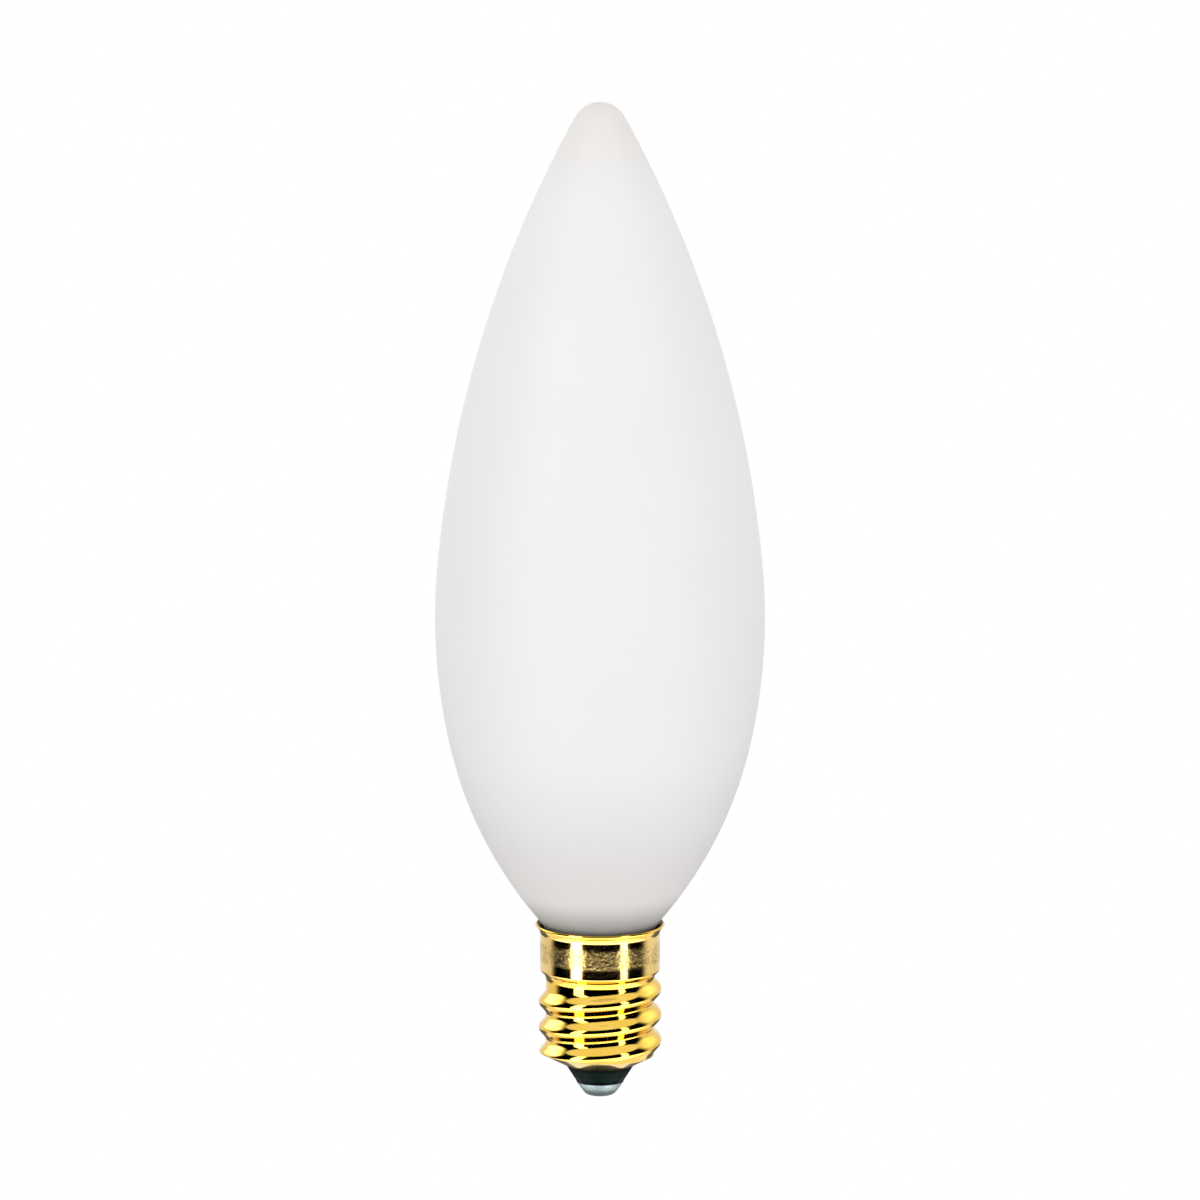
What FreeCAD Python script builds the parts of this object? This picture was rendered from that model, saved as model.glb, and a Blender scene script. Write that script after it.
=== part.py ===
import FreeCAD, Part
import math
import os
import re

import PartDesign
import Sketcher
from FreeCAD import Vector

# Candle bulb with a candelabra screw cap, millimetres.
# The origin is the lowest point of the centre contact, on the axis. +Z runs up the axis to the tip.

doc = FreeCAD.newDocument("candle_bulb")

# Driving dimensions. Heights are above the origin. A rise, fall, drop, gap or length starts at the edge that
# it is named after.
SIZES = {
    # glass bulb
    "overall_length": 97.5,
    "tip_radius": 2.7,
    "belly_diameter": 31.75,
    "belly_height": 47.0,
    "belly_radius": 56.3,
    "belly_rise": 5.0,
    "belly_fall": 12.3,
    "neck_radius": 7.0,
    "neck_gap": 0.6,
    "neck_wall": 0.9,
    "neck_depth": 8.8,
    "neck_edge": 0.6,
    "throat_gap": 0.3,
    "flare_top": 4.6,
    "flare_length": 11.0,
    "exhaust_diameter": 2.4,
    "exhaust_gap": 2.3,
    # rolled brass shell
    "sheet_wall": 0.22,
    "shoulder_height": 3.0,
    "shoulder_width": 1.92,
    "shoulder_slope": 27.5,
    "crest_rise": 2.4,
    "thread_crest": 11.86,
    "thread_pitch": 2.54,
    "thread_depth": 0.73,
    "thread_land": 0.02,
    "thread_turns": 2,
    "runout_turns": 0.35,
    "collar_rise": 1.87,
    "collar_step": 0.56,
    "step_slope": 40.0,
    "collar_length": 4.45,
    "rim_flare": 0.47,
    "flare_slope": 47.0,
    # glass insulator and centre contact
    "insulator_gap": 0.8,
    "insulator_skirt": 0.5,
    "well_rise": 0.3,
    "foot_margin": 0.05,
    "contact_height": 1.05,
    "contact_diameter": 4.0,
    "contact_flat": 2.4,
    "contact_bend": 0.8,
    "flange_cover": 0.4,
    "eyelet_shank": 1.5,
    "eyelet_wall": 0.22,
    "eyelet_length": 2.6,
    # leads, side solder and cement
    "lead_diameter": 0.2,
    "lead_bend": 0.5,
    "lead_loop": 0.6,
    "fold_gap": 0.5,
    "gather_rise": 0.6,
    "centre_lead_end": 0.45,
    "fill_rise": 1.15,
    "bead_radius": 0.55,
    "bead_reach": 0.15,
    "lead_rim_gap": 0.1,
    "cement_rise": 0.75,
    "cement_drop": 1.2,
}

# Places that follow from the sizes, from the contact up. Across is measured from the axis.

ROOT = "(thread_crest / 2 - thread_depth + thread_land)"
OPENING = f"({ROOT} - shoulder_width)"
CREST_HEIGHT = "(shoulder_height + crest_rise)"
FIRST_CREST = f"({CREST_HEIGHT} - 2 * thread_pitch)"
LAST_CREST = f"({CREST_HEIGHT} + thread_turns * thread_pitch)"
COLLAR = f"({ROOT} + collar_step)"
COLLAR_BORE = f"({COLLAR} - sheet_wall)"
COLLAR_HEIGHT = f"({LAST_CREST} + collar_rise)"
RIM = f"({COLLAR} + rim_flare)"
RIM_HEIGHT = f"({COLLAR_HEIGHT} + collar_length)"
RIM_TOP = f"({RIM_HEIGHT} + sheet_wall * cos(flare_slope))"
FLARE_START = f"({RIM_HEIGHT} - rim_flare * tan(flare_slope))"
THROAT_HEIGHT = f"({FLARE_START} + sheet_wall * tan(45 - flare_slope / 2))"

# The neck clears the thread's roots, and its curve clears the collar's throat.
NECK = f"({ROOT} - sheet_wall - neck_gap)"
NECK_CURVE = f"({NECK} + neck_radius)"
NECK_RISE = f"sqrt(neck_radius ^ 2 - ({NECK_CURVE} - {COLLAR_BORE} + throat_gap) ^ 2)"
NECK_HEIGHT = f"({THROAT_HEIGHT} - {NECK_RISE})"
NECK_END = f"({RIM_HEIGHT} - neck_depth)"
STEM_TOP = f"({NECK_END} + flare_length)"

WELL = "(shoulder_height + well_rise)"
EXHAUST_END = f"({WELL} + exhaust_gap)"

sizes = doc.addObject("Spreadsheet::Sheet", "sizes")
for row, (alias, number) in enumerate(SIZES.items(), start=1):
    sizes.set(f"A{row}", alias)
    sizes.set(f"B{row}", str(number))
    sizes.setAlias(f"B{row}", alias)
doc.recompute()


def bound(text):
    """An expression in the sizes' names as other objects of the document write it."""
    return re.sub(r"\b[a-z]+_\w+", r"sizes.\g<0>", str(text))


def value(text):
    """The number that an expression in the sizes' names gives now."""
    return float(sizes.evalExpression(bound(text)))


# Sketch helpers. A corner is (across, up) or (across, up, rounding), each an expression in the sizes' names.


def new_sketch(body, name, role="XZ_Plane"):
    """A sketch on one of the body's own origin planes."""
    sketch = body.newObject("Sketcher::SketchObject", name)
    plane = next(f for f in body.Origin.OriginFeatures if f.Role == role)
    sketch.AttachmentSupport = [(plane, "")]
    sketch.MapMode = "FlatFace"
    return sketch


def measure(sketch, kind, *where, text):
    """A sketch dimension that follows an expression."""
    index = sketch.addConstraint(Sketcher.Constraint(kind, *where, value(text)))
    sketch.setExpression(f"Constraints[{index}]", bound(text))


def locate(sketch, edge, end, across, up):
    """Fixes one point of an edge by its distances from the sketch's origin."""
    measure(sketch, "DistanceX", edge, end, text=across)
    measure(sketch, "DistanceY", edge, end, text=up)


def trace(sketch, corners, closed=True):
    """Draws straight edges through the corners, with tangent arcs at the rounded ones."""
    places = [Vector(value(c[0]), value(c[1]), 0) for c in corners]
    count = len(corners)
    spans = count if closed else count - 1
    arrive, leave, arcs = list(places), list(places), {}
    for k, corner in enumerate(corners):
        if len(corner) < 3:
            continue
        radius = value(corner[2])
        back = (places[k - 1] - places[k]).normalize()
        ahead = (places[(k + 1) % count] - places[k]).normalize()
        half = back.getAngle(ahead) / 2
        arrive[k] = places[k] + back * (radius / math.tan(half))
        leave[k] = places[k] + ahead * (radius / math.tan(half))
        inward = (back + ahead).normalize()
        centre = places[k] + inward * (radius / math.sin(half))
        middle = centre - inward * radius
        arcs[k] = sketch.addGeometry(Part.Arc(arrive[k], middle, leave[k]), False)
    edges = [
        sketch.addGeometry(Part.LineSegment(leave[k], arrive[(k + 1) % count]), False)
        for k in range(spans)
    ]
    for k, corner in enumerate(corners):
        ahead = edges[k] if k < spans else None
        back = edges[k - 1] if closed or k > 0 else None
        if k not in arcs:
            if ahead is not None:
                locate(sketch, ahead, 1, corner[0], corner[1])
                if back is not None:
                    sketch.addConstraint(Sketcher.Constraint("Coincident", back, 2, ahead, 1))
            else:
                locate(sketch, back, 2, corner[0], corner[1])
            continue
        apex = sketch.addGeometry(Part.Point(places[k]), True)
        locate(sketch, apex, 1, corner[0], corner[1])
        forward = arc_starts_at(sketch, arcs[k], arrive[k])
        first, last = (1, 2) if forward else (2, 1)
        sketch.addConstraint(
            [
                Sketcher.Constraint("PointOnObject", apex, 1, back),
                Sketcher.Constraint("PointOnObject", apex, 1, ahead),
                Sketcher.Constraint("Tangent", back, 2, arcs[k], first),
                Sketcher.Constraint("Tangent", arcs[k], last, ahead, 1),
            ]
        )
        measure(sketch, "Radius", arcs[k], text=corner[2])
    return sketch


def arc_starts_at(sketch, arc, place):
    """Whether the sketch keeps this place as the arc's first end."""
    return sketch.getPoint(arc, 1).distanceToPoint(place) < sketch.getPoint(arc, 2).distanceToPoint(place)


# Feature helpers


def new_body(name):
    return doc.addObject("PartDesign::Body", name)


def turned(body, name, sketch, kind="Revolution"):
    """A full turn of a sketch about the lamp's axis, added or (as a Groove) cut."""
    feature = body.newObject(f"PartDesign::{kind}", name)
    feature.Profile = sketch
    feature.ReferenceAxis = (sketch, ["V_Axis"])
    feature.Angle = 360
    doc.recompute()
    return feature


def wound(body, name, sketch, turns, narrowing="0"):
    """A right-handed sweep of a sketch up the lamp's axis at the thread's pitch."""
    feature = body.newObject("PartDesign::AdditiveHelix", name)
    feature.Profile = sketch
    feature.ReferenceAxis = (sketch, ["V_Axis"])
    feature.Mode = "pitch-turns-angle"
    feature.setExpression("Pitch", bound("thread_pitch"))
    feature.setExpression("Turns", bound(turns))
    feature.setExpression("Angle", bound(narrowing))
    doc.recompute()
    return feature


def drawn_wire(name, corners):
    """A round wire along a route in the YZ plane, from the pinch down."""
    body = new_body(name)
    route = trace(new_sketch(body, f"{name}_route", "YZ_Plane"), corners, closed=False)
    section = new_sketch(body, f"{name}_section", "XY_Plane")
    section.setExpression("AttachmentOffset.Base.z", bound(corners[0][1]))
    start = Vector(0, value(corners[0][0]), 0)
    circle = section.addGeometry(Part.Circle(start, Vector(0, 0, 1), value("lead_diameter") / 2), False)
    section.addConstraint(Sketcher.Constraint("PointOnObject", circle, 3, -2))
    measure(section, "DistanceY", circle, 3, text=corners[0][0])
    measure(section, "Diameter", circle, text="lead_diameter")
    doc.recompute()
    pipe = body.newObject("PartDesign::AdditivePipe", f"{name}_pipe")
    pipe.Profile = section
    pipe.Spine = (route, [f"Edge{k + 1}" for k in range(len(route.Shape.Edges))])
    doc.recompute()
    return body


def less(name, base, *tools):
    """The base with the room of other pieces taken out, so that it fits them exactly."""
    for k, tool in enumerate(tools, start=1):
        cut = doc.addObject("Part::Cut", name if k == len(tools) else f"{name}_less_{tool.Name}")
        cut.Base = base
        cut.Tool = tool
        base = cut
    doc.recompute()
    return base


# Glass bulb: tangent arcs from the tip over the long flank and the belly into the neck


def unit(start, end):
    return (end - start).normalize()


def leaving_arc(start, centre, other, other_radius):
    """Centre of the arc that leaves one circle at a point and meets another, which lies outside it if its
    radius is given as negative."""
    outward = unit(centre, start)
    apart = start - other
    radius = (apart.Length**2 - other_radius**2) / (2 * (outward.dot(apart) - other_radius))
    return start - outward * radius


def bulb_outline(body):
    """Half of the blown envelope's outline, from the tip down to the rounded end of the neck."""
    tip_radius, belly_radius, neck_radius = (value(f"{part}_radius") for part in ("tip", "belly", "neck"))
    neck_side = value(NECK)
    top = Vector(0, value("overall_length"), 0)
    tip = top - Vector(0, tip_radius, 0)
    belly = Vector(value("belly_diameter / 2 - belly_radius"), value("belly_height"), 0)
    neck = Vector(neck_side + neck_radius, value(NECK_HEIGHT), 0)

    def on_belly(rise):
        return belly + Vector(math.sqrt(belly_radius**2 - rise**2), rise, 0)

    flank_to_belly = on_belly(value("belly_rise"))
    belly_to_lower = on_belly(-value("belly_fall"))
    flank = leaving_arc(flank_to_belly, belly, tip, tip_radius)
    lower = leaving_arc(belly_to_lower, belly, neck, -neck_radius)
    tip_to_flank = tip + unit(flank, tip) * tip_radius
    lower_to_neck = neck + unit(neck, lower) * neck_radius
    neck_to_side = Vector(neck_side, neck.y, 0)

    def arc(centre, start, end):
        half = (unit(centre, start) + unit(centre, end)).normalize()
        middle = centre + half * start.distanceToPoint(centre)
        return Part.Arc(start, middle, end)

    sketch = new_sketch(body, "bulb_outline")
    chain = [
        arc(tip, top, tip_to_flank),
        arc(flank, tip_to_flank, flank_to_belly),
        arc(belly, flank_to_belly, belly_to_lower),
        arc(lower, belly_to_lower, lower_to_neck),
        arc(neck, lower_to_neck, neck_to_side),
    ]
    arcs = [sketch.addGeometry(piece, False) for piece in chain]
    tip_arc, _, belly_arc, _, neck_arc = arcs
    starts = [top, tip_to_flank, flank_to_belly, belly_to_lower, lower_to_neck]
    ends = [(1, 2) if arc_starts_at(sketch, a, p) else (2, 1) for a, p in zip(arcs, starts)]
    edge, edge_round = value(NECK_END), value("neck_edge")
    side = sketch.addGeometry(
        Part.LineSegment(neck_to_side, Vector(neck_side, edge + edge_round, 0)), False
    )
    turn = Vector(neck_side - edge_round, edge + edge_round, 0)
    lip = sketch.addGeometry(
        arc(turn, Vector(neck_side, turn.y, 0), Vector(turn.x, edge, 0)), False
    )
    base = sketch.addGeometry(Part.LineSegment(Vector(turn.x, edge, 0), Vector(0, edge, 0)), False)
    axis = sketch.addGeometry(Part.LineSegment(Vector(0, edge, 0), top), False)
    lip_ends = (1, 2) if arc_starts_at(sketch, lip, Vector(neck_side, turn.y, 0)) else (2, 1)
    for k in range(len(arcs) - 1):
        sketch.addConstraint(
            Sketcher.Constraint("Tangent", arcs[k], ends[k][1], arcs[k + 1], ends[k + 1][0])
        )
    sketch.addConstraint(
        [
            Sketcher.Constraint("Tangent", neck_arc, ends[-1][1], side, 1),
            Sketcher.Constraint("Tangent", side, 2, lip, lip_ends[0]),
            Sketcher.Constraint("Tangent", lip, lip_ends[1], base, 1),
            Sketcher.Constraint("Coincident", base, 2, axis, 1),
            Sketcher.Constraint("Coincident", axis, 2, tip_arc, ends[0][0]),
            Sketcher.Constraint("PointOnObject", tip_arc, 3, -2),
            Sketcher.Constraint("PointOnObject", axis, 1, -2),
            Sketcher.Constraint("PointOnObject", axis, 2, -2),
            Sketcher.Constraint("Vertical", side),
            Sketcher.Constraint("Horizontal", base),
        ]
    )
    measure(sketch, "Radius", tip_arc, text="tip_radius")
    measure(sketch, "Radius", belly_arc, text="belly_radius")
    measure(sketch, "Radius", neck_arc, text="neck_radius")
    measure(sketch, "Radius", lip, text="neck_edge")
    measure(sketch, "DistanceY", axis, 2, text="overall_length")
    measure(sketch, "DistanceY", axis, 1, text=NECK_END)
    measure(sketch, "DistanceY", belly_arc, ends[2][0], text="belly_height + belly_rise")
    measure(sketch, "DistanceY", belly_arc, ends[2][1], text="belly_height - belly_fall")
    locate(sketch, belly_arc, 3, "belly_diameter / 2 - belly_radius", "belly_height")
    locate(sketch, side, 1, NECK, NECK_HEIGHT)
    return sketch


def make_glass_bulb():
    """The sealed envelope as one solid, with the stem's open flare and the stub of its exhaust tube."""
    body = new_body("glass_bulb")
    turned(body, "bulb_turn", bulb_outline(body))
    flare = trace(
        new_sketch(body, "flare_outline"),
        [
            ("0", f"{NECK_END} - neck_edge"),
            (f"{NECK} - neck_wall", f"{NECK_END} - neck_edge"),
            (f"{NECK} - neck_wall", NECK_END),
            ("flare_top / 2", STEM_TOP),
            ("0", STEM_TOP),
        ],
    )
    turned(body, "flare_bore", flare, "Groove")
    tube = trace(
        new_sketch(body, "exhaust_outline"),
        [
            ("0", f"{STEM_TOP} + exhaust_diameter / 2"),
            ("0", EXHAUST_END),
            ("exhaust_diameter / 2", EXHAUST_END, "exhaust_diameter / 4"),
            ("exhaust_diameter / 2", f"{STEM_TOP} + exhaust_diameter / 2"),
        ],
    )
    turned(body, "exhaust_tube", tube)
    return body


# Screw shell: one drawn and rolled sheet, made as its outside less its inside, which is the same form
# moved in by the sheet's thickness

FLANK = "(2 * atan(2 * thread_depth / thread_pitch))"
KNUCKLE = f"(thread_pitch / (4 * sin({FLANK})))"
CREST_CENTRE = f"(thread_crest / 2 - {KNUCKLE})"
ROOT_CENTRE = f"({ROOT} - thread_land + {KNUCKLE})"


def shoulder_line(across, inset):
    """Height of the sloping shoulder's face at a distance from the axis, the sheet's inset above it."""
    return (
        f"shoulder_height + ({across} - {OPENING}) * tan(shoulder_slope)"
        f" + ({inset}) / cos(shoulder_slope)"
    )


def knuckle_sketch(body, name, middle, inset, crest_chords, root_chords):
    """The thread's ridge: a round crest between two round roots, each arc as short chords."""
    crest = f"({KNUCKLE} - {inset})"
    root = f"({KNUCKLE} + {inset})"
    sunk = f"acos(({ROOT_CENTRE} - {ROOT} + {inset} + thread_land / 2) / {root})"
    corners = []
    for k in range(root_chords + 1):
        angle = f"({sunk} + ({FLANK} - {sunk}) * {k} / {root_chords})"
        corners.append(
            (f"{ROOT_CENTRE} - {root} * cos({angle})", f"{middle} - thread_pitch / 2 + {root} * sin({angle})")
        )
    for k in range(1, crest_chords // 2 + 1):
        angle = f"({FLANK} * (1 - 2 * {k} / {crest_chords}))"
        corners.append((f"{CREST_CENTRE} + {crest} * cos({angle})", f"{middle} - {crest} * sin({angle})"))
    mirrored = [(across, f"2 * {middle} - ({up})") for across, up in reversed(corners)]
    if crest_chords % 2 == 0:
        mirrored = mirrored[1:]
    inside = f"{ROOT} - {inset} - 4 * thread_land"
    foot = [(inside, mirrored[-1][1]), (inside, corners[0][1])]
    return trace(new_sketch(body, name), corners + mirrored + foot)


def shell_form(name, inset, rim, crest_chords, root_chords):
    """The whole space inside one face of the sheet, from the opening up to the rim's own corners."""
    body = new_body(name)
    low = f"shoulder_height - {ROOT}"
    step_foot = f"{COLLAR_HEIGHT} - collar_step * tan(step_slope)"
    step_rise = f"{inset} * tan(45 - step_slope / 2)"
    flare_rise = f"{inset} * tan(45 - flare_slope / 2)"
    corners = [
        ("0", low),
        (f"{ROOT} - {inset}", low),
        (f"{ROOT} - {inset}", f"{step_foot} + {step_rise}"),
        (f"{COLLAR} - {inset}", f"{COLLAR_HEIGHT} + {step_rise}"),
        (f"{COLLAR} - {inset}", f"{FLARE_START} + {flare_rise}"),
        *rim,
    ]
    turned(body, f"{name}_turn", trace(new_sketch(body, f"{name}_outline"), corners))
    ridge = knuckle_sketch(body, f"{name}_ridge", FIRST_CREST, inset, crest_chords, root_chords)
    wound(body, f"{name}_thread", ridge, "thread_turns + 2")
    tail = knuckle_sketch(body, f"{name}_tail", LAST_CREST, inset, crest_chords, root_chords)
    fall = "(thread_depth + 3 * thread_land)"
    wound(
        body,
        f"{name}_runout",
        tail,
        "runout_turns",
        f"-atan({fall} / (runout_turns * thread_pitch))",
    )
    near, wide = f"{OPENING} / 2", f"2 * {RIM}"
    below = f"{FIRST_CREST} - 2 * thread_pitch"
    shoulder = trace(
        new_sketch(body, f"{name}_shoulder"),
        [
            (near, below),
            (wide, below),
            (wide, shoulder_line(wide, inset)),
            (near, shoulder_line(near, inset)),
        ],
    )
    turned(body, f"{name}_trim", shoulder, "Groove")
    return body


def make_screw_shell():
    lip = (f"{RIM} - sheet_wall * sin(flare_slope)", RIM_TOP)
    rim = [(RIM, RIM_HEIGHT), lip, ("0", RIM_TOP)]
    outside = shell_form("screw_shell", "0", rim, 6, 2)
    over = f"{RIM_TOP} + sheet_wall"
    inside = shell_form("shell_inside", "sheet_wall", [lip, (lip[0], over), ("0", over)], 4, 2)
    opening = trace(
        new_sketch(inside, "opening_outline"),
        [
            ("0", f"shoulder_height - {ROOT}"),
            (OPENING, f"shoulder_height - {ROOT}"),
            (OPENING, CREST_HEIGHT),
            ("0", CREST_HEIGHT),
        ],
    )
    turned(inside, "shell_opening", opening)
    hollow = outside.newObject("PartDesign::Boolean", "shell_hollow")
    hollow.Type = "Cut"
    hollow.setObjects([inside])
    outside.Tip = hollow
    doc.recompute()
    return outside


# Glass insulator, cast through the shell's opening, and the brass eyelet cast into it


def make_insulator():
    body = new_body("insulator")
    spread = f"{ROOT} - sheet_wall - insulator_gap"
    edge = shoulder_line(spread, "sheet_wall")
    outline = trace(
        new_sketch(body, "insulator_outline"),
        [
            ("eyelet_shank / 2", "contact_height"),
            ("contact_diameter / 2 + foot_margin", "contact_height"),
            (OPENING, shoulder_line(OPENING, "0")),
            (OPENING, shoulder_line(OPENING, "sheet_wall")),
            (spread, edge),
            (spread, f"{edge} + insulator_skirt"),
            ("eyelet_shank / 2", WELL),
        ],
    )
    turned(body, "insulator_turn", outline)
    return body


def make_contact_eyelet():
    """Brass eyelet: a flange under the insulator and a shank up through it."""
    body = new_body("contact_eyelet")
    outline = trace(
        new_sketch(body, "eyelet_outline"),
        [
            ("eyelet_shank / 2 - eyelet_wall", "contact_height - eyelet_wall"),
            ("contact_diameter / 2 - flange_cover", "contact_height - eyelet_wall"),
            ("contact_diameter / 2 - flange_cover", "contact_height"),
            ("eyelet_shank / 2", "contact_height"),
            ("eyelet_shank / 2", "contact_height + eyelet_length"),
            ("eyelet_shank / 2 - eyelet_wall", "contact_height + eyelet_length"),
        ],
    )
    turned(body, "eyelet_turn", outline)
    return body


# Leads from the pinch. Both leave it midway between the exhaust tube and the flare's top.

PINCH = "((exhaust_diameter + flare_top) / 4)"


def make_centre_lead():
    return drawn_wire(
        "centre_lead",
        [
            (f"-{PINCH}", STEM_TOP),
            (f"-{PINCH}", f"{EXHAUST_END} - fold_gap", "lead_bend"),
            ("0", f"{WELL} + gather_rise", "lead_bend"),
            ("0", "centre_lead_end"),
        ],
    )


def make_side_lead():
    under = f"{NECK_END} - lead_loop"
    beside = f"{NECK} + neck_gap / 2"
    over = f"{RIM_TOP} + lead_diameter / 2 + lead_rim_gap"
    return drawn_wire(
        "side_lead",
        [
            (PINCH, STEM_TOP),
            (PINCH, under, "lead_bend"),
            (beside, under, "lead_bend"),
            (beside, NECK_HEIGHT, "lead_bend"),
            (f"{COLLAR_BORE} - throat_gap / 2", THROAT_HEIGHT, "lead_bend"),
            (f"{RIM} - 1.5 * sheet_wall", over, "lead_diameter"),
            (f"{RIM} + bead_reach", over),
        ],
    )


# Solder and cement, each made to fill the room round its neighbours


def make_contact_solder(eyelet, lead):
    """The rounded mound under the insulator, with its run up into the eyelet."""
    body = new_body("contact_mound")
    outline = trace(
        new_sketch(body, "contact_outline"),
        [
            ("0", "0"),
            ("contact_flat / 2", "0", "contact_bend"),
            ("contact_diameter / 2", "contact_height"),
            ("eyelet_shank / 2 - eyelet_wall", "contact_height"),
            ("eyelet_shank / 2 - eyelet_wall", "contact_height + fill_rise"),
            ("0", "contact_height + fill_rise"),
        ],
    )
    turned(body, "contact_turn", outline)
    return less("contact_solder", body, eyelet, lead)


def make_side_solder(shell, lead):
    """A small bead over the end of the side lead, on the back of the rim."""
    bead = doc.addObject("Part::Sphere", "solder_bead")
    bead.setExpression("Radius", bound("bead_radius"))
    bead.setExpression("Placement.Base.y", bound(f"{RIM} + bead_reach"))
    bead.setExpression("Placement.Base.z", bound(RIM_HEIGHT))
    return less("side_solder", bead, shell, lead)


def make_basing_cement(glass, lead):
    """The ring that holds the neck in the collar. The neck's own curve shapes its bore."""
    body = new_body("cement_ring")
    within = f"{NECK} - neck_wall / 2"
    foot, top = f"{COLLAR_HEIGHT} + cement_rise", f"{RIM_HEIGHT} - cement_drop"
    ring = [(within, foot), (COLLAR_BORE, foot), (COLLAR_BORE, top), (within, top)]
    turned(body, "cement_turn", trace(new_sketch(body, "cement_outline"), ring))
    return less("basing_cement", body, glass, lead)


# The lamp, piece by piece

glass_bulb = make_glass_bulb()
screw_shell = make_screw_shell()
insulator = make_insulator()
contact_eyelet = make_contact_eyelet()
centre_lead = make_centre_lead()
side_lead = make_side_lead()
contact_solder = make_contact_solder(contact_eyelet, centre_lead)
side_solder = make_side_solder(screw_shell, side_lead)
basing_cement = make_basing_cement(glass_bulb, side_lead)

PIECES = {
    "glass_bulb": glass_bulb,
    "screw_shell": screw_shell,
    "insulator": insulator,
    "contact_eyelet": contact_eyelet,
    "contact_solder": contact_solder,
    "centre_lead": centre_lead,
    "side_lead": side_lead,
    "side_solder": side_solder,
    "basing_cement": basing_cement,
}

doc.recompute()
for item in doc.Objects:
    if "Invalid" in item.State or "Error" in item.State:
        raise RuntimeError(f"{item.Name} failed: {item.State}")
for name, piece in PIECES.items():
    piece.Label = name
    if piece.Shape.isNull() or not piece.Shape.isValid() or not piece.Shape.Solids:
        raise RuntimeError(f"{name} has no valid solid")

os.makedirs("parts", exist_ok=True)
for name, piece in PIECES.items():
    piece.Shape.exportStep(f"parts/{name}.step")
    print(name, len(piece.Shape.Solids), round(piece.Shape.Volume, 2))
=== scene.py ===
import math

import bmesh
import bpy
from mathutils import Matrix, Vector


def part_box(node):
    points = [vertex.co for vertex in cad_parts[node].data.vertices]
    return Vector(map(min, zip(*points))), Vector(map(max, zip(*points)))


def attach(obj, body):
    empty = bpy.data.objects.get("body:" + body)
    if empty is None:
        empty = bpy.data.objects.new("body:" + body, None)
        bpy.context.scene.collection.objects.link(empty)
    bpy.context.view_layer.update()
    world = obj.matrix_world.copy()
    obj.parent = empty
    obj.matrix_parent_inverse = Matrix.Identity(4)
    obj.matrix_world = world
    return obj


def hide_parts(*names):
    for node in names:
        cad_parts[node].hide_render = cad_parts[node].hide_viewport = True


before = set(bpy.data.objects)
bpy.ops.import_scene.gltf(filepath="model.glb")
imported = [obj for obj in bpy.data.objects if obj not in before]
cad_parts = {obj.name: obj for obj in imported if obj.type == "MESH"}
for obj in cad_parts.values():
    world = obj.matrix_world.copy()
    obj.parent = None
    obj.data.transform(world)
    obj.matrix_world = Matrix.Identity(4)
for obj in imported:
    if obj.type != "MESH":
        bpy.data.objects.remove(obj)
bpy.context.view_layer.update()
MM = 0.001

# Glass bulb. One blown envelope drawn out to a tip, satin white inside and out, solid here because it is
# sealed and can't be seen into. Its neck stands in the cap, and the stem's flare opens under it.

TIP_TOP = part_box("glass_bulb")[1][2] / MM
TIP_RADIUS = 2.7
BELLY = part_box("glass_bulb")[1][0] / MM
BELLY_HEIGHT = 47.0
BELLY_RADIUS = 56.3
BELLY_RISE = 5.0
BELLY_FALL = 12.3
NECK = 4.4
NECK_RADIUS = 7.0
NECK_HEIGHT = 13.02
NECK_EDGE = 0.6
NECK_WALL = 0.9
EXHAUST = 1.2
EXHAUST_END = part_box("glass_bulb")[0][2] / MM
EXHAUST_STUB = 2.4
NECK_END = EXHAUST_END + EXHAUST_STUB
FLARE_TOP = 2.3
FLARE_TOP_HEIGHT = 19.0

TIP_STEPS = 10
FLANK_STEPS = 40
BELLY_STEPS = 16
LOWER_STEPS = 18
NECK_STEPS = 14
EDGE_STEPS = 4
BULB_STEPS = 128
WELD = 0.002
SHARP_CORNER = math.radians(40)

MILK = (0.85, 0.845, 0.855, 1)
CLOUDED_MILK = (0.875, 0.868, 0.882, 1)
WARM_TIP = (0.83, 0.80, 0.765, 1)
# Painted shade: the lower glass greyer, darker at the neck, near black in the gap under the rim.
LOWER_GLASS_SHADE = (0.80, 0.78, 0.77, 1)
PAINTED_NECK_SHADE = (0.31, 0.305, 0.28, 1)
RIM_GAP_SHADE = (0.03, 0.028, 0.024, 1)
WARM_TIP_FADE = (88.0, 96.5)
LOWER_GLASS_SHADE_FADE = (36.0, 22.5)
PAINTED_NECK_SHADE_FADE = (20.8, 16.5)
RIM_GAP_SHADE_FADE = (16.7, 16.0)


def turn_of(place, centre):
    return math.atan2(place.y - centre.y, place.x - centre.x)


def along_arc(centre, start, end, steps):
    """Points round a centre from one place to another, the short way, without the first."""
    first = turn_of(start, centre)
    swing = (turn_of(end, centre) - first + math.pi) % math.tau - math.pi
    radius = (start - centre).length
    turns = [first + swing * k / steps for k in range(1, steps + 1)]
    return [centre + radius * Vector((math.cos(turn), math.sin(turn))) for turn in turns]


def leaving_arc(start, centre, other, other_radius):
    """Centre of the arc that leaves one circle at a place and meets another, outside it if negative."""
    outward = (start - centre).normalized()
    apart = start - other
    radius = (apart.length_squared - other_radius**2) / (2 * (outward.dot(apart) - other_radius))
    return start - outward * radius


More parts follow.
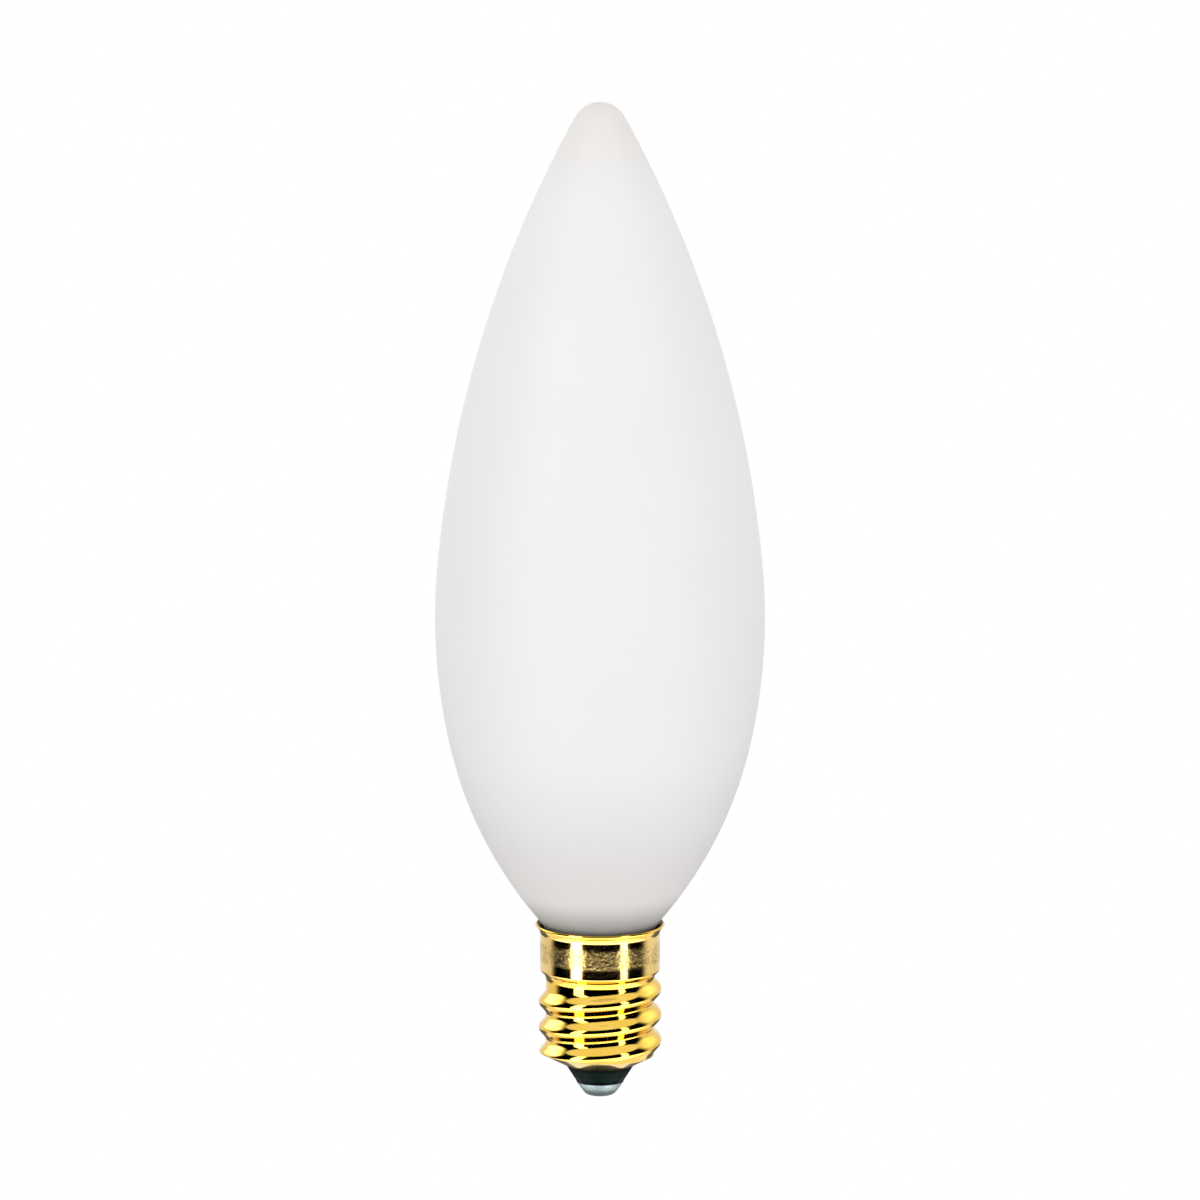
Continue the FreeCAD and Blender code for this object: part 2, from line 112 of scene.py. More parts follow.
def bulb_outline():
    tip = Vector((0, TIP_TOP - TIP_RADIUS))
    belly = Vector((BELLY - BELLY_RADIUS, BELLY_HEIGHT))
    neck = Vector((NECK + NECK_RADIUS, NECK_HEIGHT))
    over = belly + Vector((math.sqrt(BELLY_RADIUS**2 - BELLY_RISE**2), BELLY_RISE))
    under = belly + Vector((math.sqrt(BELLY_RADIUS**2 - BELLY_FALL**2), -BELLY_FALL))
    flank = leaving_arc(over, belly, tip, TIP_RADIUS)
    lower = leaving_arc(under, belly, neck, -NECK_RADIUS)
    tip_joint = tip + (tip - flank).normalized() * TIP_RADIUS
    neck_joint = neck + (lower - neck).normalized() * NECK_RADIUS
    edge = Vector((NECK - NECK_EDGE, NECK_END + NECK_EDGE))
    points = [Vector((0, TIP_TOP))]
    points += along_arc(tip, points[-1], tip_joint, TIP_STEPS)
    points += along_arc(flank, points[-1], over, FLANK_STEPS)
    points += along_arc(belly, points[-1], under, BELLY_STEPS)
    points += along_arc(lower, points[-1], neck_joint, LOWER_STEPS)
    points += along_arc(neck, points[-1], Vector((NECK, NECK_HEIGHT)), NECK_STEPS)
    points.append(edge + Vector((NECK_EDGE, 0)))
    points += along_arc(edge, points[-1], edge - Vector((0, NECK_EDGE)), EDGE_STEPS)
    points += [
        Vector((NECK - NECK_WALL, NECK_END)),
        Vector((FLARE_TOP, FLARE_TOP_HEIGHT)),
        Vector((EXHAUST, FLARE_TOP_HEIGHT)),
        Vector((EXHAUST, EXHAUST_END + EXHAUST / 2)),
        Vector((EXHAUST / 2, EXHAUST_END)),
        Vector((0, EXHAUST_END)),
    ]
    return points


def turned_piece(name, points, steps, closed=False):
    """A mesh turned round the lamp's axis from an outline in millimetres."""
    bm = bmesh.new()
    corners = [bm.verts.new((p[0] * MM, 0, p[1] * MM)) for p in points]
    rims = [bm.edges.new(pair) for pair in zip(corners, corners[1:])]
    if closed:
        rims.append(bm.edges.new((corners[-1], corners[0])))
    bmesh.ops.spin(
        bm,
        geom=corners + rims,
        cent=(0, 0, 0),
        axis=(0, 0, 1),
        dvec=(0, 0, 0),
        angle=math.tau,
        steps=steps,
        use_merge=True,
        use_duplicate=False,
    )
    bmesh.ops.remove_doubles(bm, verts=bm.verts, dist=WELD * MM)
    bmesh.ops.recalc_face_normals(bm, faces=bm.faces)
    return shown(name, bm)


def shown(name, bm):
    """The finished mesh as an object of the scene, smooth but for its sharp corners."""
    mesh = bpy.data.meshes.new(name)
    bm.to_mesh(mesh)
    bm.free()
    mesh.shade_smooth()
    mesh.set_sharp_from_angle(angle=SHARP_CORNER)
    piece = bpy.data.objects.new(name, mesh)
    bpy.context.scene.collection.objects.link(piece)
    return piece


def dressed(piece, finish, node):
    """Gives a piece its finish and its place in the lamp."""
    piece.data.materials.append(finish)
    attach(piece, "root")
    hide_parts(node)


def new_finish(name):
    finish = bpy.data.materials.new(name)
    finish.use_nodes = True
    return finish, finish.node_tree, finish.node_tree.nodes["Principled BSDF"]


def add(tree, kind, inputs=(), **settings):
    """A node with its settings, and its inputs as numbers, colours or other nodes' outputs."""
    node = tree.nodes.new(kind)
    for key, setting in settings.items():
        setattr(node, key, setting)
    for key, source in dict(inputs).items():
        if isinstance(source, bpy.types.NodeSocket):
            tree.links.new(source, node.inputs[key])
        else:
            node.inputs[key].default_value = source
    return node


def calc(tree, operation, *values):
    return add(tree, "ShaderNodeMath", enumerate(values), operation=operation).outputs[0]


def spread(tree, source, low, high, from_value=0.0, to_value=1.0):
    """Carries a range of one value smoothly on to another range."""
    inputs = {"Value": source, "From Min": low, "From Max": high, "To Min": from_value, "To Max": to_value}
    return add(tree, "ShaderNodeMapRange", inputs, interpolation_type="SMOOTHSTEP").outputs[0]


def blend_colours(tree, share, first, second):
    inputs = {"Factor": share, 6: first, 7: second}
    return add(tree, "ShaderNodeMix", inputs, data_type="RGBA").outputs[2]


def noise(tree, vector, scale, detail=3.0, roughness=0.5):
    inputs = {"Vector": vector, "Scale": scale, "Detail": detail, "Roughness": roughness}
    return add(tree, "ShaderNodeTexNoise", inputs).outputs["Fac"]


def on_piece(tree):
    return add(tree, "ShaderNodeTexCoord").outputs["Object"]


def height_of(tree, place):
    return add(tree, "ShaderNodeSeparateXYZ", {0: place}).outputs["Z"]


def fade(tree, height, start, end):
    """0 up to one height and 1 from another on, both in millimetres and in either order."""
    return spread(tree, height, start * MM, end * MM)


def raise_relief(tree, shader, relief, strength, depth):
    """Lets a pattern stand out of the surface, with its depth in millimetres."""
    bump = add(tree, "ShaderNodeBump", {"Height": relief, "Strength": strength, "Distance": depth * MM})
    tree.links.new(bump.outputs[0], shader.inputs["Normal"])


def make_satin_glass():
    """Even milky coat, warmer at the tip; painted shade greys it low down and blacks the gap under the rim.
    """
    finish, tree, shader = new_finish("satin_glass")
    place = on_piece(tree)
    height = height_of(tree, place)
    cloud = noise(tree, place, scale=90.0, detail=2.0)
    milky = blend_colours(tree, cloud, MILK, CLOUDED_MILK)
    milky = blend_colours(tree, fade(tree, height, *WARM_TIP_FADE), milky, WARM_TIP)
    # Painted shade: grey low on the glass, darker at the neck, black in the gap under the rim.
    milky = blend_colours(tree, fade(tree, height, *LOWER_GLASS_SHADE_FADE), milky, LOWER_GLASS_SHADE)
    milky = blend_colours(tree, fade(tree, height, *PAINTED_NECK_SHADE_FADE), milky, PAINTED_NECK_SHADE)
    milky = blend_colours(tree, fade(tree, height, *RIM_GAP_SHADE_FADE), milky, RIM_GAP_SHADE)
    tree.links.new(milky, shader.inputs["Base Color"])
    grain = noise(tree, place, scale=5200.0, detail=2.0)
    raise_relief(tree, shader, grain, strength=0.08, depth=0.02)
    shader.inputs["Roughness"].default_value = 0.55
    shader.inputs["IOR"].default_value = 1.5
    shader.inputs["Specular IOR Level"].default_value = 0.35
    return finish


bulb = turned_piece("bulb", bulb_outline(), BULB_STEPS)
dressed(bulb, make_satin_glass(), "glass_bulb")

# Leads. Two bare tinned wires from the bulb's pinch: one runs down the middle to the contact, the other up
# between neck and shell and over the rim at the back, where it shows as a short end.

TIN = (0.52, 0.50, 0.47, 1)
BRIGHT_TIN = (0.68, 0.66, 0.62, 1)


def carried_over(node, finish):
    """A piece of the frame whose own shape is right, with a better finish."""
    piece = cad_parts[node]
    if not piece.material_slots:
        piece.data.materials.append(finish)
    for slot in piece.material_slots:
        slot.material = finish


def make_handling_marks():
    """Cloudy dulling and fine rubbed specks, as a mask each."""
    group = bpy.data.node_groups.new("handling_marks", "ShaderNodeTree")
    face = group.interface
    face.new_socket("Place", in_out="INPUT", socket_type="NodeSocketVector")
    face.new_socket("Cloud Scale", in_out="INPUT", socket_type="NodeSocketFloat")
    face.new_socket("Speck Scale", in_out="INPUT", socket_type="NodeSocketFloat")
    face.new_socket("Cloud", in_out="OUTPUT", socket_type="NodeSocketFloat")
    face.new_socket("Specks", in_out="OUTPUT", socket_type="NodeSocketFloat")
    given = group.nodes.new("NodeGroupInput").outputs
    out = group.nodes.new("NodeGroupOutput").inputs
    cloud = noise(group, given["Place"], given["Cloud Scale"], detail=5.0, roughness=0.6)
    speck = noise(group, given["Place"], given["Speck Scale"], detail=4.0, roughness=0.65)
    group.links.new(spread(group, cloud, 0.38, 0.66), out["Cloud"])
    group.links.new(spread(group, speck, 0.57, 0.70), out["Specks"])
    return group


handling_marks = make_handling_marks()


def marked(tree, place, cloud_scale, speck_scale):
    """The two masks of the handling marks on one material."""
    inputs = {"Place": place, "Cloud Scale": cloud_scale, "Speck Scale": speck_scale}
    group = add(tree, "ShaderNodeGroup", inputs, node_tree=handling_marks)
    return group.outputs["Cloud"], group.outputs["Specks"]


def make_tinned_wire():
    finish, tree, shader = new_finish("tinned_wire")
    cloud, specks = marked(tree, on_piece(tree), cloud_scale=900.0, speck_scale=6000.0)
    tree.links.new(blend_colours(tree, cloud, TIN, BRIGHT_TIN), shader.inputs["Base Color"])
    tree.links.new(spread(tree, specks, 0.0, 1.0, 0.25, 0.5), shader.inputs["Roughness"])
    shader.inputs["Metallic"].default_value = 1.0
    return finish


tinned_wire = make_tinned_wire()
for lead in ("centre_lead", "side_lead"):
    carried_over(lead, tinned_wire)

# Screw shell. One sheet of brass, drawn to a cup, its knuckle thread rolled in, the collar left plain and
# the rim flared under the glass. Polished, rubbed by handling, with the rolling's fine lines round it.

SHEET = 0.22
OPENING = 3.3
SHOULDER_HEIGHT = 3.0
SHOULDER_SLOPE = math.radians(27.5)
SHOULDER_SOFTNESS = 0.1
ROOT = 5.22
CREST = 5.93
PITCH = 2.54
DEPTH = 0.73
CREST_HEIGHT = 5.4
TURNS = 2
RUNOUT = 0.35
RUNOUT_MARGIN = 0.06
GROOVE = 1.1
GROOVE_TURN = math.radians(50)
GROOVE_MARGIN = 0.02
STEP_FOOT = 11.88
COLLAR = 5.78
COLLAR_HEIGHT = 12.35
COLLAR_BEND = 0.3
FLARE_START = 16.296
FLARE_BEND = 0.9
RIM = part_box("screw_shell")[1][0] / MM
RIM_HEIGHT = 16.8

RING_GAP = PITCH / 72
SHELL_STEPS = 144
SHELL_BEND_STEPS = 18
ON_THE_WALL = 0.001

ROLLED_BRASS = (0.93, 0.59, 0.085, 1)
PALE_ROLLED_BRASS = (0.96, 0.64, 0.125, 1)
COLLAR_BRASS = (0.86, 0.60, 0.20, 1)
PALE_COLLAR_BRASS = (0.97, 0.71, 0.27, 1)
WORN_BRASS = (0.42, 0.27, 0.08, 1)
DIRTY_PITS = (0.20, 0.125, 0.035, 1)
# Painted shade: the shell's inside shows only in the gap under the rim, so it is painted dark.
SHADED_INNER_BRASS = (0.09, 0.06, 0.025, 1)
PALE_SHADED_INNER_BRASS = (0.18, 0.12, 0.05, 1)
SHADED_INNER_SPECKS = (0.06, 0.045, 0.03, 1)
COLLAR_FOOT_FADE = (12.2, 12.8)
COLLAR_TOP_FADE = (16.4, 15.9)
RUBBED_FOOT_FADE = (13.2, 13.8)
RUBBED_TOP_FADE = (15.7, 15.1)


def knuckle(away):
    """The rolled thread's radius at a height away from the middle of a crest."""
    if abs(away) > PITCH / 2:
        return ROOT
    return CREST - DEPTH / 2 * (1 - math.cos(math.tau * away / PITCH))


def thread_radius(height, turn):
    """Radius of the shell's wall at a height and a share of a turn, counted from the right-hand side."""
    climb = (height - CREST_HEIGHT) / PITCH - turn
    widest = ROOT
    for ridge in (math.floor(climb), math.floor(climb) + 1):
        past_end = max(0.0, ridge + turn - TURNS)
        if past_end < RUNOUT:
            sunk = past_end / RUNOUT * (DEPTH + RUNOUT_MARGIN)
            widest = max(widest, knuckle((climb - ridge) * PITCH) - sunk)
    shoulder = OPENING + (height - SHOULDER_HEIGHT) / math.tan(SHOULDER_SLOPE)
    nearness = max(SHOULDER_SOFTNESS - abs(widest - shoulder), 0) / SHOULDER_SOFTNESS
    return min(widest, shoulder) - nearness**2 * SHOULDER_SOFTNESS / 4


def rounded(corners, steps):
    """Points of an outline whose corners may carry a rounding."""
    points = []
    for k, corner in enumerate(corners):
        here = Vector(corner[:2])
        if len(corner) < 3:
            points.append(here)
            continue
        back = (Vector(corners[k - 1][:2]) - here).normalized()
        ahead = (Vector(corners[(k + 1) % len(corners)][:2]) - here).normalized()
        half = back.angle(ahead) / 2
        centre = here + (back + ahead).normalized() * (corner[2] / math.sin(half))
        points.append(here + back * (corner[2] / math.tan(half)))
        points += along_arc(centre, points[-1], here + ahead * (corner[2] / math.tan(half)), steps)
    return points


def make_shell():
    wall_top = STEP_FOOT - GROOVE * math.tan(GROOVE_TURN / 2) - GROOVE_MARGIN
    threaded = wall_top - SHOULDER_HEIGHT
    rings = int(threaded / RING_GAP)
    column = [Vector((ROOT, SHOULDER_HEIGHT + threaded * k / rings)) for k in range(rings + 1)]
    upper = rounded(
        [
            (ROOT, wall_top),
            (ROOT, STEP_FOOT, GROOVE),
            (COLLAR, COLLAR_HEIGHT, COLLAR_BEND),
            (COLLAR, FLARE_START, FLARE_BEND),
            (RIM, RIM_HEIGHT),
        ],
        SHELL_BEND_STEPS,
    )
    piece = turned_piece("shell", column + upper[1:], SHELL_STEPS)
    for corner in piece.data.vertices:
        turn = math.atan2(corner.co.y, corner.co.x) / math.tau % 1.0
        plain = corner.co.xy.length / MM
        rolled = thread_radius(corner.co.z / MM, turn)
        if plain < ROOT + ON_THE_WALL or rolled > plain:
            corner.co.x *= rolled / plain
            corner.co.y *= rolled / plain
    piece.data.flip_normals()
    piece.data.shade_smooth()
    wall = piece.modifiers.new("sheet", "SOLIDIFY")
    wall.thickness = SHEET * MM
    wall.offset = -1.0
    wall.use_even_offset = True
    wall.material_offset = 1
    return piece


def band(tree, height, foot, top):
    """1 between two heights of the shell and 0 outside them, each height with its fade."""
    return calc(tree, "MULTIPLY", fade(tree, height, *foot), fade(tree, height, *top))


def make_polished_brass():
    """Bright and deep yellow where it is rolled or drawn, paler, scuffed and pitted round the collar."""
    finish, tree, shader = new_finish("polished_brass")
    place = on_piece(tree)
    height = height_of(tree, place)
    cloud, specks = marked(tree, place, cloud_scale=420.0, speck_scale=2200.0)
    collar = band(tree, height, COLLAR_FOOT_FADE, COLLAR_TOP_FADE)
    rubbed = band(tree, height, RUBBED_FOOT_FADE, RUBBED_TOP_FADE)
    rolled_tone = blend_colours(tree, cloud, ROLLED_BRASS, PALE_ROLLED_BRASS)
    collar_tone = blend_colours(tree, cloud, COLLAR_BRASS, PALE_COLLAR_BRASS)
    tone = blend_colours(tree, collar, rolled_tone, collar_tone)
    worn = calc(tree, "MULTIPLY", specks, spread(tree, rubbed, 0.0, 1.0, 0.05, 0.7))
    tone = blend_colours(tree, worn, tone, WORN_BRASS)
    pits = noise(tree, place, scale=3600.0, detail=4.0, roughness=0.6)
    pitted = calc(tree, "MULTIPLY", rubbed, 0.5)
    dirt = calc(tree, "MULTIPLY", spread(tree, pits, 0.52, 0.38), pitted)
    tree.links.new(blend_colours(tree, dirt, tone, DIRTY_PITS), shader.inputs["Base Color"])
    dull = spread(tree, cloud, 0.0, 1.0, 0.066, 0.055)
    for mask, share in ((collar, 0.03), (rubbed, 0.07), (worn, 0.3)):
        dull = calc(tree, "MULTIPLY_ADD", mask, share, dull)
    tree.links.new(dull, shader.inputs["Roughness"])
    squeezed = add(tree, "ShaderNodeMapping", {"Vector": place, "Scale": (1, 1, 14)}).outputs[0]
    lines = noise(tree, squeezed, scale=900.0)
    relief = calc(tree, "MULTIPLY", calc(tree, "MULTIPLY", pits, rubbed), 5.0)
    relief = calc(tree, "MULTIPLY_ADD", lines, 0.05, relief)
    raise_relief(tree, shader, relief, strength=0.25, depth=0.02)
    shader.inputs["Metallic"].default_value = 1.0
    return finish


def make_shaded_inner_brass():
    """The shell's unpolished inside, kept dark as painted shade in the gap under the rim, with darker
    specks.
    """
    finish, tree, shader = new_finish("shaded_inner_brass")
    cloud, specks = marked(tree, on_piece(tree), cloud_scale=600.0, speck_scale=2600.0)
    tone = blend_colours(tree, cloud, SHADED_INNER_BRASS, PALE_SHADED_INNER_BRASS)
    tree.links.new(blend_colours(tree, specks, tone, SHADED_INNER_SPECKS), shader.inputs["Base Color"])
    tree.links.new(spread(tree, specks, 0.0, 1.0, 0.38, 0.6), shader.inputs["Roughness"])
    shader.inputs["Metallic"].default_value = 1.0
    return finish


polished_brass = make_polished_brass()
shell = make_shell()
dressed(shell, polished_brass, "screw_shell")
shell.data.materials.append(make_shaded_inner_brass())

# Insulator. Nearly black green glass, cast hot through the shell's opening, so it fills the opening and
# keeps a smooth fire-polished cone outside.

INSULATOR_FOOT = 2.05
INSULATOR_FOOT_BEND = 0.12
CONTACT_HEIGHT = 1.05
SPREAD = 4.2
SKIRT = 0.5
SKIRT_BEND = 0.2
SHANK = 0.75
WELL = 3.3
INSULATOR_STEPS = 96
INSULATOR_BEND_STEPS = 5

BLACK_GLASS = (0.0005, 0.0075, 0.006, 1)
GREEN_BLACK_GLASS = (0.002, 0.015, 0.012, 1)
# Painted shade: the glass near black at its ends, next to the solder and the shell's opening.
PAINTED_SHADE_AT_ENDS = (0.0, 0.001, 0.001, 1)
LOWER_END_SHADE_FADE = (1.85, 1.5)
UPPER_END_SHADE_FADE = (2.62, 2.85)


def make_insulator():
    rise = SHEET / math.cos(SHOULDER_SLOPE)
    spread_height = SHOULDER_HEIGHT + (SPREAD - OPENING) * math.tan(SHOULDER_SLOPE) + rise
    corners = [
        (SHANK, CONTACT_HEIGHT),
        (INSULATOR_FOOT, CONTACT_HEIGHT, INSULATOR_FOOT_BEND),
        (OPENING, SHOULDER_HEIGHT),
        (OPENING, SHOULDER_HEIGHT + rise),
        (SPREAD, spread_height),
        (SPREAD, spread_height + SKIRT, SKIRT_BEND),
        (SHANK, WELL),
    ]
    outline = rounded(corners, INSULATOR_BEND_STEPS)
    return turned_piece("insulator_glass", outline, INSULATOR_STEPS, closed=True)


def make_dark_glass():
    finish, tree, shader = new_finish("dark_green_glass")
    place = on_piece(tree)
    height = height_of(tree, place)
    cloud, specks = marked(tree, place, cloud_scale=500.0, speck_scale=2400.0)
    tone = blend_colours(tree, cloud, BLACK_GLASS, GREEN_BLACK_GLASS)
    # Painted shade where the glass meets the solder below and the shell above.
    lower_end_shade = fade(tree, height, *LOWER_END_SHADE_FADE)
    upper_end_shade = fade(tree, height, *UPPER_END_SHADE_FADE)
    tone = blend_colours(tree, calc(tree, "MAXIMUM", lower_end_shade, upper_end_shade), tone, PAINTED_SHADE_AT_ENDS)
    tree.links.new(tone, shader.inputs["Base Color"])
    tree.links.new(spread(tree, specks, 0.0, 1.0, 0.16, 0.4), shader.inputs["Roughness"])
    waves = noise(tree, place, scale=700.0, detail=2.0)
    raise_relief(tree, shader, waves, strength=0.35, depth=0.06)
    shader.inputs["IOR"].default_value = 1.55
    shader.inputs["Specular IOR Level"].default_value = 0.03
    return finish


dressed(make_insulator(), make_dark_glass(), "insulator")

# Contact eyelet. A small eyelet drawn from brass, with its flange under the insulator and its shank cast
# into the glass. The solder fills and hides it.

carried_over("contact_eyelet", polished_brass)

# Basing cement. A ring of pale filled resin, put in the collar as a paste and baked hard between the shell
# and the bulb's neck. It holds the glass in the cap, and shows only in the gap under the rim.

CEMENT = (0.36, 0.33, 0.27, 1)
PALE_CEMENT = (0.55, 0.52, 0.45, 1)


def make_baked_cement():
    finish, tree, shader = new_finish("baked_cement")
    crumb = noise(tree, on_piece(tree), scale=1800.0, detail=6.0, roughness=0.7)
    tree.links.new(blend_colours(tree, crumb, CEMENT, PALE_CEMENT), shader.inputs["Base Color"])
    raise_relief(tree, shader, crumb, strength=0.7, depth=0.1)
    shader.inputs["Roughness"].default_value = 0.9
    return finish


carried_over("basing_cement", make_baked_cement())

# Centre contact. A mound of solder over the eyelet, wetted out to the insulator's foot and set smooth,
# with painted shade darkening its underside.

CONTACT = 2.1
CONTACT_FLAT = 1.3
CONTACT_BEND = 0.8
CONTACT_EDGE_BEND = 0.06
WETTED = 0.28
WETTED_SKIN = 0.1
FILL = 2.2
SHANK_BORE = 0.53
CONE = (OPENING - INSULATOR_FOOT) / (SHOULDER_HEIGHT - CONTACT_HEIGHT)
CONTACT_STEPS = 72
CONTACT_BEND_STEPS = 8

SOLDER = (0.24, 0.30, 0.31, 1)
PALE_SOLDER = (0.36, 0.43, 0.44, 1)
SPECKED_SOLDER = (0.10, 0.14, 0.14, 1)
# Painted shade: the contact darker on its underside.
SOLDER_UNDERSIDE_SHADE = (0.045, 0.065, 0.06, 1)
UNDERSIDE_SHADE_FADE = (1.0, 0.4)


def make_contact():
    wetted_edge = CONTACT + WETTED * CONE
    corners = [
        (0, 0),
        (CONTACT_FLAT, 0, CONTACT_BEND),
        (CONTACT, CONTACT_HEIGHT, CONTACT_EDGE_BEND),
        (wetted_edge, CONTACT_HEIGHT + WETTED),
        (wetted_edge - WETTED_SKIN, CONTACT_HEIGHT + WETTED),
        (CONTACT - WETTED_SKIN, CONTACT_HEIGHT),
        (SHANK_BORE, CONTACT_HEIGHT),
        (SHANK_BORE, FILL),
        (0, FILL),
    ]
    return turned_piece("contact", rounded(corners, CONTACT_BEND_STEPS), CONTACT_STEPS)


def make_solder():
    finish, tree, shader = new_finish("solder")
    place = on_piece(tree)
    cloud, specks = marked(tree, place, cloud_scale=650.0, speck_scale=2600.0)
    tone = blend_colours(tree, cloud, SOLDER, PALE_SOLDER)
    tone = blend_colours(tree, calc(tree, "MULTIPLY", specks, 0.5), tone, SPECKED_SOLDER)
    # Painted shade darkens the contact's underside.
    underside_shade = calc(tree, "MULTIPLY", fade(tree, height_of(tree, place), *UNDERSIDE_SHADE_FADE), 0.85)
    tree.links.new(blend_colours(tree, underside_shade, tone, SOLDER_UNDERSIDE_SHADE), shader.inputs["Base Color"])
    tree.links.new(spread(tree, cloud, 0.0, 1.0, 0.48, 0.34), shader.inputs["Roughness"])
    ripple = noise(tree, place, scale=900.0)
    raise_relief(tree, shader, ripple, strength=0.4, depth=0.08)
    shader.inputs["Metallic"].default_value = 1.0
    return finish


solder = make_solder()
dressed(make_contact(), solder, "contact_solder")

# Side solder. One drop of the same solder that fixes the side lead on the rim at the back. It was laid on
# hot, flowed out a little along the brass, and set with a tail below.

BEAD = 0.55
BEAD_PLACE = Vector((0, 6.4, RIM_HEIGHT))
BEAD_STEPS = 32
BEAD_RINGS = 20
BEAD_DEPTH = 0.86
BEAD_WAVE = 0.06
BEAD_WAVES = 5
TAIL_NARROWING = 0.25
TAIL_THINNING = 0.1
TAIL_LENGTH = 0.3


def make_bead():
    bm = bmesh.new()
    bmesh.ops.create_uvsphere(bm, u_segments=BEAD_STEPS, v_segments=BEAD_RINGS, radius=BEAD * MM)
    for corner in bm.verts:
        height = corner.co.z / (BEAD * MM)
        low = max(0.0, -height)
        corner.co.x *= (1.0 - TAIL_NARROWING * low) * (1 + BEAD_WAVE * math.sin(BEAD_WAVES * height))
        corner.co.y *= BEAD_DEPTH - TAIL_THINNING * low
        corner.co.z *= 1 + TAIL_LENGTH * low
    bmesh.ops.translate(bm, verts=bm.verts, vec=BEAD_PLACE * MM)
    return shown("side_bead", bm)


dressed(make_bead(), solder, "side_solder")

# Studio. The lamp hangs over a pale floor in even light and casts no shadow. What its brass mirrors is a
# dark front with a tall light each side of the camera, weaker lights further round, a bright floor and
# ceiling, and darkness low at the back and straight below.

FLOOR_HEIGHT = -0.06
FLOOR_REACH = 4.0

FLOOR_GLOW_BEHIND = 1.05
FLOOR_GLOW_AHEAD = 2.6
FLOOR_AHEAD = (-100, 100, 12)
FLOOR_EDGE = (-24, -18)
WALL_GLOW = 0.88
CEILING_EDGE = (45, 52)
DARK_FRONT = ((-106, 97, 14), (-20, 47, 2))
DARK_BELOW = ((-90, 90, 8), (-100, -68, 5))
DARK_BELOW_SHARE = 0.6
NOT_BEHIND = (-128, 128, 10)
DARK_BEHIND = (-32, -15, 2)
DARK_BEHIND_SHARE = 0.85
TALL_LEFT_LIGHT = ((-57, -36, 2), (-38, 45, 4), 5.0)
FAR_LEFT_LIGHT = ((-142, -100, 9), (15, 37, 8), 3.0)
FAR_RIGHT_LIGHT = ((104, 148, 14), (20, 40, 12), 0.7)
TALL_RIGHT_LIGHT = ((41, 54, 2), (-38, 45, 4), 3.4)


def make_floor():
    bm = bmesh.new()
    bmesh.ops.create_grid(bm, x_segments=1, y_segments=1, size=FLOOR_REACH)
    bmesh.ops.translate(bm, verts=bm.verts, vec=(0, 0, FLOOR_HEIGHT))
    floor = shown("floor", bm)
    finish, tree, shader = new_finish("pale_floor")
    shader.inputs["Base Color"].default_value = (0, 0, 0, 1)
    shader.inputs["Specular IOR Level"].default_value = 0.0
    shader.inputs["Emission Color"].default_value = (1, 1, 1, 1)
    shader.inputs["Emission Strength"].default_value = 1.0
    floor.data.materials.append(finish)
    floor.visible_diffuse = False
    floor.visible_glossy = False
    floor.visible_shadow = False


make_floor()


def between(tree, angle, low, high, soft):
    """1 inside a range of an angle in degrees, 0 outside it, with a soft edge."""
    low, high, soft = (math.radians(degrees) for degrees in (low, high, soft))
    rising = spread(tree, angle, low - soft, low + soft)
    falling = spread(tree, angle, high - soft, high + soft, 1.0, 0.0)
    return calc(tree, "MULTIPLY", rising, falling)


